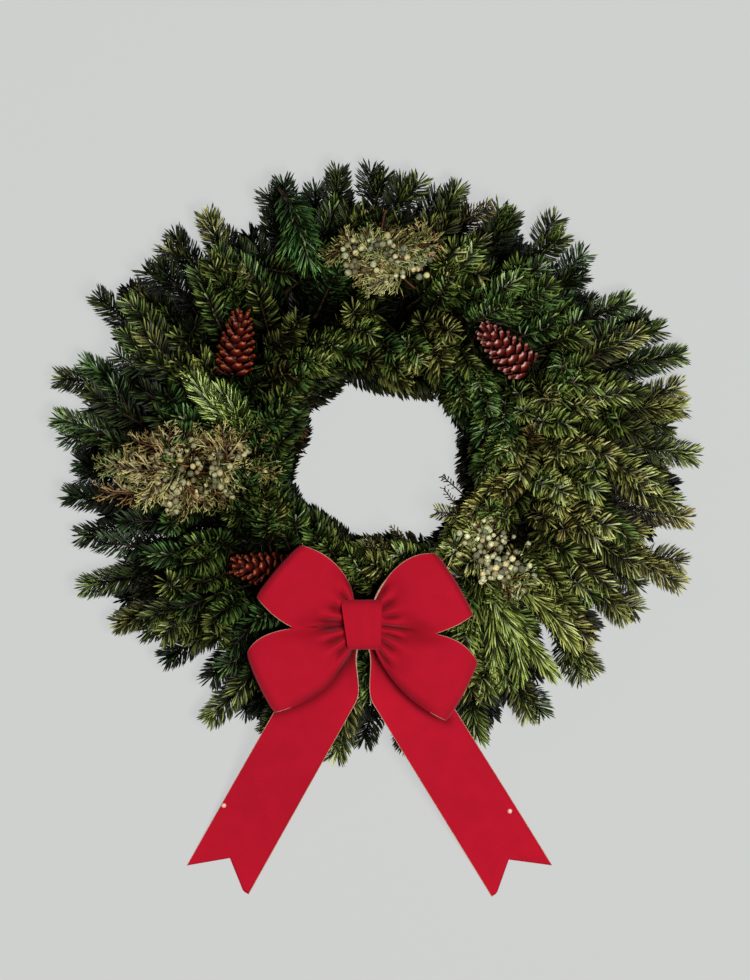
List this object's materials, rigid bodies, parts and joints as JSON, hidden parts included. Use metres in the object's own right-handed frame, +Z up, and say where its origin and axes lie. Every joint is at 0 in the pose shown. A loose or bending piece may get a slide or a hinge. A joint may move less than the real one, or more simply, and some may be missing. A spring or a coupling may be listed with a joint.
{
  "type": "evergreen wreath",
  "caption": "Round wreath of fresh fir bunches on a steel clamp ring, dressed with juniper berries, long-needled pine, cones and a red velvet bow with two tails.",
  "frame": {"origin": "centre of the footprint on the surface the wreath lies on", "axes": "the wreath lies on its back: +Y towards its top as it would hang, +X to the viewer's right, +Z up out of its face"},
  "size_m": [0.6228, 0.7038, 0.132],
  "materials": {
    "ring_steel": "green enamelled wire, dulled by sap",
    "fir": "waxy fir needles, paler underneath, on brown twigs",
    "juniper": "yellow-green and rust-brown scale leaves",
    "berries": "pale grey-green berries with a chalky bloom",
    "pine": "long glossy yellow-green pine needles",
    "cone": "red-brown varnished scales with a pink glint",
    "velvet": "red velvet ribbon with a thin gold wired edge",
    "wire": "green florist's wire"
  },
  "bodies": {
    "root": {"clamp_ring": "ring_steel", "fir_bunch_01": "fir", "fir_bunch_02": "fir", "fir_bunch_03": "fir", "fir_bunch_04": "fir", "fir_bunch_05": "fir", "fir_bunch_06": "fir", "fir_bunch_07": "fir", "fir_bunch_08": "fir", "fir_bunch_09": "fir", "fir_bunch_10": "fir", "fir_bunch_11": "fir", "fir_bunch_12": "fir", "fir_bunch_13": "fir", "fir_bunch_14": "fir", "fir_bunch_15": "fir", "fir_bunch_16": "fir", "fir_bunch_17": "fir", "fir_bunch_18": "fir", "fir_bunch_19": "fir", "fir_bunch_20": "fir", "fir_bunch_21": "fir", "fir_bunch_22": "fir", "fir_bunch_23": "fir", "fir_bunch_24": "fir", "fir_bunch_25": "fir", "fir_bunch_26": "fir", "fir_bunch_27": "fir", "fir_bunch_28": "fir", "fir_bunch_29": "fir", "fir_bunch_30": "fir", "juniper_top": "juniper", "juniper_berries_top": "berries", "juniper_left": "juniper", "juniper_berries_left": "berries", "juniper_right": "juniper", "juniper_berries_right": "berries", "pine_spray_top": "pine", "pine_spray_left": "pine", "pine_spray_right": "pine", "pine_cone_upper_left": "cone", "cone_pick_upper_left": "wire", "pine_cone_upper_right": "cone", "cone_pick_upper_right": "wire", "pine_cone_lower_left": "cone", "cone_pick_lower_left": "wire", "bow_loop_upper_left": "velvet", "bow_loop_upper_right": "velvet", "bow_loop_lower_left": "velvet", "bow_loop_lower_right": "velvet", "bow_band": "velvet", "bow_tail_left": "velvet", "bow_tail_right": "velvet", "bow_tie_wire": "wire"}
  },
  "joints": []
}
